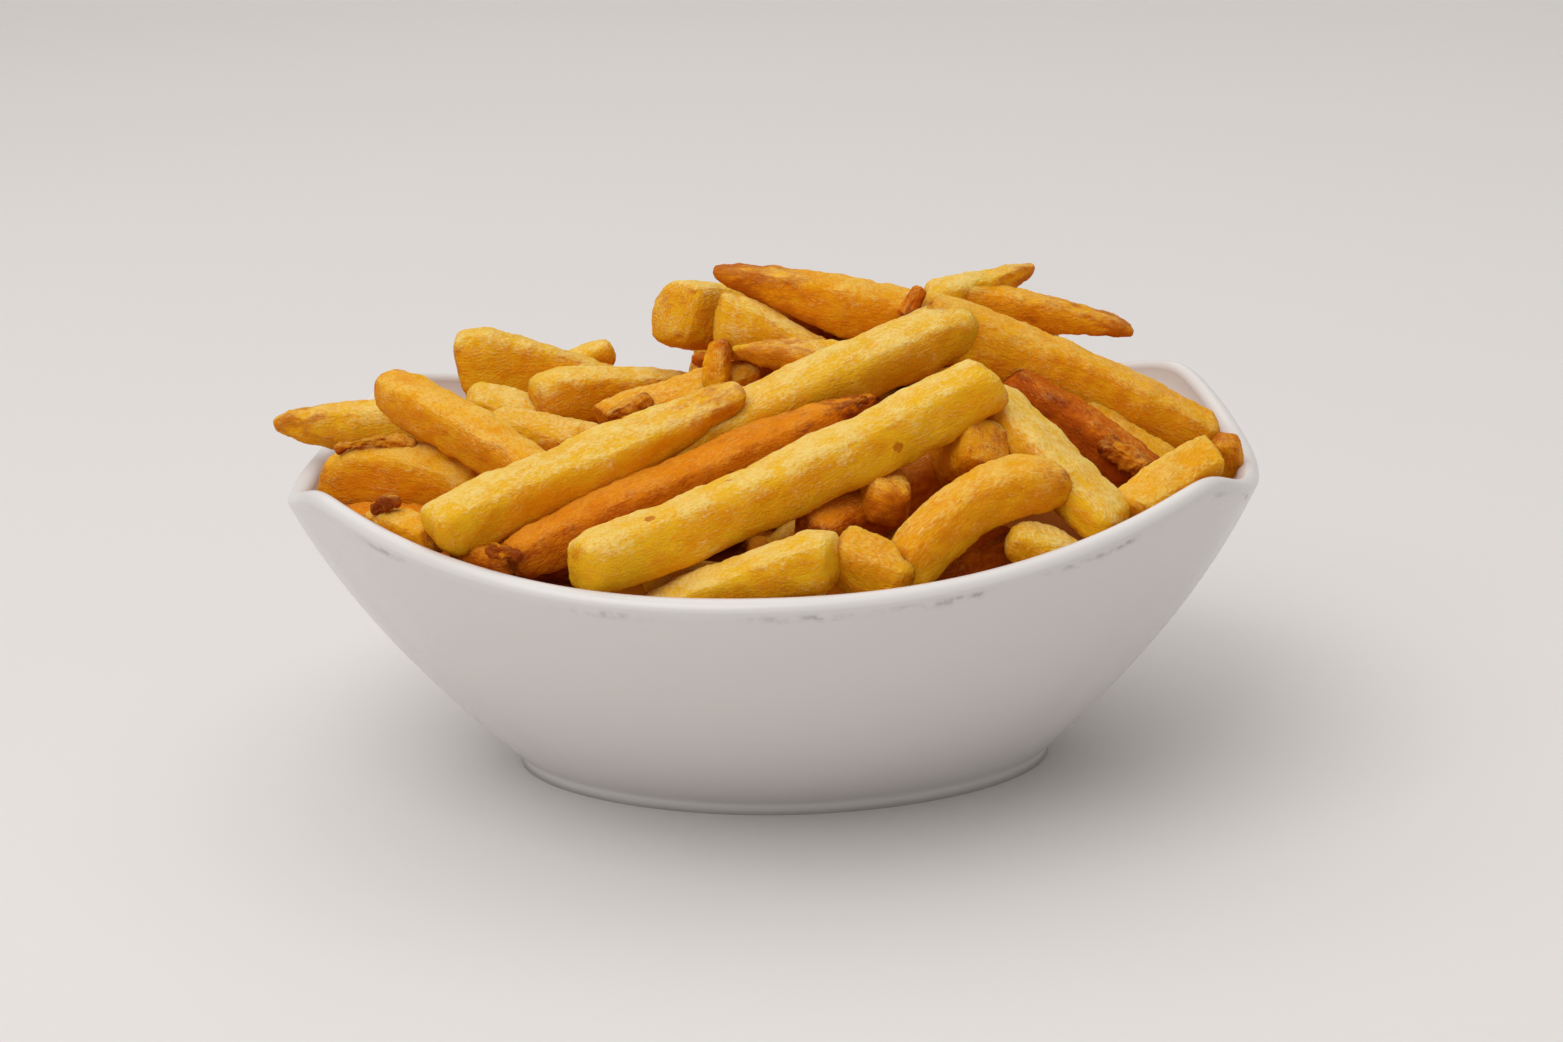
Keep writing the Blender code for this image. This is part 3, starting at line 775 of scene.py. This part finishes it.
class Pile:
    """The heap's height map, which grows with each fry that comes to rest on it."""

    def __init__(self, ground, walls, inside, ceiling=None, give=0.0):
        self.ground, self.walls, self.inside = ground.copy(), walls, inside
        self.ceiling, self.give = ceiling, give

    def strip(self, field, lie, pick):
        """The highest or lowest value of a map across a fry, at each step along it."""
        x, y, heading, length, width = lie
        steps = np.arange(-length / 2, length / 2 + CELL / 2, CELL)
        rows = []
        for off in (-0.45 * width, 0.0, 0.45 * width):
            px = x + steps * math.cos(heading) - off * math.sin(heading)
            py = y + steps * math.sin(heading) + off * math.cos(heading)
            i = np.clip(np.rint((px - GRID_X[0]) / CELL).astype(int), 0, len(GRID_X) - 1)
            j = np.clip(np.rint((py - GRID_Y[0]) / CELL).astype(int), 0, len(GRID_Y) - 1)
            rows.append(field[i, j])
        return steps, pick(rows, axis=0)

    def rest(self, lie):
        """Height of the fry's middle and its slope, or None where it can't lie."""
        length, width = lie[3:]
        if self.strip(self.inside, lie, np.min)[1].min() < 1:
            return None
        steps, under = self.strip(self.ground, lie, np.max)
        left, right = steps < -length * 0.08, steps > length * 0.08
        s1, g1 = steps[left][:, None], under[left][:, None]
        s2, g2 = steps[right][None, :], under[right][None, :]
        hold = (g1 * s2 - g2 * s1) / (s2 - s1)
        best = np.unravel_index(np.argmax(hold), hold.shape)
        slope = float((g2[0, best[1]] - g1[best[0], 0]) / (s2[0, best[1]] - s1[best[0], 0]))
        middle = max(float(hold[best]), float(under[len(steps) // 2])) + width / 2
        if self.ceiling is not None:
            over = self.strip(self.ceiling, lie, np.min)[1]
            middle -= max(0.0, float((middle + slope * steps + width / 2 - over).max()))
            floor = self.strip(self.walls, lie, np.max)[1]
            if (middle + slope * steps - width / 2 < floor).any():
                return None
        return (middle, slope) if abs(slope) < STEEPEST else None

    def add(self, lie, middle, slope):
        """Raises the map to the top of a fry."""
        x, y, heading, length, width = lie
        gx, gy = np.meshgrid(GRID_X, GRID_Y, indexing="ij")
        along = (gx - x) * math.cos(heading) + (gy - y) * math.sin(heading)
        off = abs((gy - y) * math.cos(heading) - (gx - x) * math.sin(heading))
        covered = (abs(along) < length / 2) & (off < width / 2)
        top = middle + slope * along + width * 0.46 - self.give
        self.ground = np.where(covered, np.maximum(self.ground, top), self.ground)


def tip_in(pile, chance, count, area, lengths, headings, allowed):
    """Lets fries fall one by one and returns them as laid, in millimetres."""
    fries = []
    for _ in range(80 * count):
        if len(fries) == count:
            break
        x, y = chance.uniform(*area[0]) * MM, chance.uniform(*area[1]) * MM
        heading = chance.uniform(*headings)
        length, width = chance.uniform(*lengths) * MM, chance.uniform(10.5, 13.0) * MM
        lie = (x, y, heading, length, width)
        rest = pile.rest(lie)
        if rest is None:
            continue
        middle, slope = rest
        half = Vector((math.cos(heading), math.sin(heading), slope)) * (length / 2)
        centre = Vector((x, y, middle))
        if not all(allowed(centre + half * way, width) for way in (-1.1, -0.6, 0, 0.6, 1.1)):
            continue
        pile.add(lie, middle, slope)
        kinds = [chance.choice(("cut", "cut", "blunt", "round", "spear", "wedge")) for _ in "ab"]
        fries.append(fry(
            tuple((centre - half) / MM), tuple((centre + half) / MM), width / MM,
            width / MM * chance.uniform(0.86, 1.0), chance.uniform(-40, 40), kinds,
            chance.uniform(-1.5, 2.0), chance.uniform(-2, 2), chance.random(),
        ))
    return fries


# The way from the heap to someone who looks at it from the front, a little above the rim.
SIGHT = Vector((0.0627, -0.9532, 0.2958))


def hidden_by(crest, spot, width):
    """Whether the crest hides a fry's top from the front, seen from a little above."""
    for aside in (-0.6, 0.0, 0.6):
        top = spot + Vector((width * aside, 0, width * 0.75))
        if crest.ray_cast(top + SIGHT * 0.004, SIGHT)[0] is None:
            return False
    return True


def under_the_top(spot, width):
    """The fries below stay under the dome of the top ones and don't show above it from behind."""
    fall = (spot.x / MM - DOME_MIDDLE) ** 2 + (spot.y / MM) ** 2
    dome = DOME_TOP - DOME_FALL * fall
    if spot.y > 8 * MM and not hidden_by(crest, spot, width):
        return False
    return spot.z + width / 2 < dome * MM


heart_map = height_map([heart], True, 0.0)
wall_map = height_map([bowl], True, 0.0)
inside = ((heart_map > 0) & (heart_map >= wall_map)).astype(int)
bottom_map = np.maximum(heart_map, wall_map)
crest = surface_of([bowl] + laid_pieces)
chance = random.Random(21)
below = Pile(bottom_map, wall_map, inside, height_map(laid_pieces, False, 1.0))
below_fries = tip_in(below, chance, BELOW_COUNT, BELOW_AREA, (30, 74), (-1.1, 1.5), under_the_top)
# The fries below get only the golden and the dark finish, never the pale one: real darker fries, and
# partly painted shade of the gaps between the top ones.
laid_pieces.append(fried_piece("fries_below_golden", GOLDEN, below_fries[::2], **COARSE))
laid_pieces.append(fried_piece("fries_below_dark", DARK, below_fries[1::2], **COARSE))

# ---------------------------------------------------------------------------------------------
# The far side of the heap, which slopes down to the back rim: pale and golden fries that slid
# off the crest. They lie half sunk in the heart and pressed into each other, low enough to stay
# behind the crest, and tuck under the fries laid so far.
SUNK = 6.0 * MM
PRESSED = 8.5 * MM
BACK_LOW, BACK_FROM = 67.0 * MM, 25 * MM
BACK_COUNT = 70
BACK_AREA = ((-92, 92), (6, 82))
BACK_STEPS = {"Steps across": 9, "Steps along": 46}
crest = surface_of([bowl, heart] + laid_pieces)


def behind_the_crest(spot, width):
    """Whether a fry lies lower than the back rim or is hidden by the crest."""
    low = spot.z + width / 2 < BACK_LOW and spot.y > BACK_FROM
    return low or hidden_by(crest, spot, width * 0.75)


# They may reach two cells beyond the heart's edge, where the wall leans away from them.
nearby = [np.roll(inside, (i, j), (0, 1)) for i in (-2, 0, 2) for j in (-2, 0, 2)]
behind = Pile(bottom_map - SUNK, wall_map, np.maximum.reduce(nearby), give=PRESSED)
back_fries = tip_in(behind, chance, BACK_COUNT, BACK_AREA, (18, 48), (-1.1, 1.1), behind_the_crest)
fried_piece("fries_back_pale", PALE, back_fries[::2], **BACK_STEPS)
fried_piece("fries_back_golden", GOLDEN, back_fries[1::2], **BACK_STEPS)

# ---------------------------------------------------------------------------------------------
# The stage: a pale seamless sweep of matt card, a large soft box overhead, a smaller one at the
# front left and an even sky, and the camera a little above the rim.
CARD, CARD_DARKER = (0.76, 0.735, 0.72, 1), (0.74, 0.715, 0.70, 1)
SKY_COLOUR, SKY_STRENGTH = (1.0, 0.985, 0.975, 1), 0.41


def stage_finish():
    """Matt card with a faint cloud in its grey."""
    material, bench = new_finish("matt_card")
    place = bench.node("ShaderNodeTexCoord", None, None, "Object")
    cloud = bench.node("ShaderNodeTexNoise", None, {"Vector": place, "Scale": 3.0})
    mix = {"Factor": cloud, "A": CARD, "B": CARD_DARKER}
    colour = bench.node("ShaderNodeMix", {"data_type": "RGBA"}, named_mix(mix), 2)
    coat(bench, {"Base Color": colour, "Roughness": 0.9})
    return material


def sweep_mesh(title, half_width, front, back, bend, height):
    """A floor that curves up into a wall behind the bowl."""
    profile = [(front, 0.0), (back - bend, 0.0)]
    for i in range(1, 25):
        turn = math.pi / 2 * i / 24
        profile.append((back - bend + bend * math.sin(turn), bend * (1 - math.cos(turn))))
    profile.append((back, height))
    points = [(x, y, z) for y, z in profile for x in (-half_width, half_width)]
    faces = [(2 * i, 2 * i + 1, 2 * i + 3, 2 * i + 2) for i in range(len(profile) - 1)]
    mesh = bpy.data.meshes.new(title)
    mesh.from_pydata(points, [], faces)
    mesh.shade_smooth()
    return mesh


sweep = sweep_mesh("stage_sweep", half_width=3.0, front=-2.0, back=2.2, bend=1.0, height=3.0)
floor = bpy.data.objects.new("stage_sweep", sweep)
floor.data.materials.append(stage_finish())
bpy.context.scene.collection.objects.link(floor)


def soft_light(title, place, aim, size, power, colour):
    """A square soft box that points at a spot."""
    lamp = bpy.data.lights.new(title, "AREA")
    lamp.shape, lamp.size, lamp.energy, lamp.color = "SQUARE", size, power, colour
    thing = bpy.data.objects.new(title, lamp)
    thing.location = place
    thing.rotation_euler = (Vector(aim) - Vector(place)).to_track_quat("-Z", "Y").to_euler()
    bpy.context.scene.collection.objects.link(thing)


soft_light("overhead", (-0.15, 0.25, 1.6), (0, 0.1, 0.05), 2.6, 18.0, (1.0, 0.985, 0.97))
soft_light("key_left", (-0.6, -1.0, 1.45), (0, 0, 0.07), 1.4, 12.5, (1.0, 0.99, 0.98))
world = bpy.data.worlds.new("studio")
world.use_nodes = True
sky = world.node_tree.nodes["Background"]
sky.inputs["Color"].default_value = SKY_COLOUR
sky.inputs["Strength"].default_value = SKY_STRENGTH
bpy.context.scene.world = world
bpy.context.scene.view_settings.view_transform = "Standard"

CAMERA_DISTANCE = 0.700
CAMERA_PITCH, CAMERA_YAW, CAMERA_ROLL = 17.2, -3.76, -1.955
CAMERA_AIM = Vector((1.28, 0.08, 54.06)) * MM
SENSOR_WIDTH, FOCAL_LENGTH = 36.0, 73.7
lens = bpy.data.cameras.new("camera")
lens.sensor_width, lens.lens = SENSOR_WIDTH, FOCAL_LENGTH
lens.clip_start = 0.01
camera = bpy.data.objects.new("camera", lens)
turn = (
    Matrix.Rotation(math.radians(-CAMERA_YAW), 4, "Z")
    @ Matrix.Rotation(math.radians(90 - CAMERA_PITCH), 4, "X")
    @ Matrix.Rotation(math.radians(CAMERA_ROLL), 4, "Z")
)
away = Matrix.Translation((0, 0, CAMERA_DISTANCE))
camera.matrix_world = Matrix.Translation(CAMERA_AIM) @ turn @ away
bpy.context.scene.collection.objects.link(camera)
bpy.context.scene.camera = camera
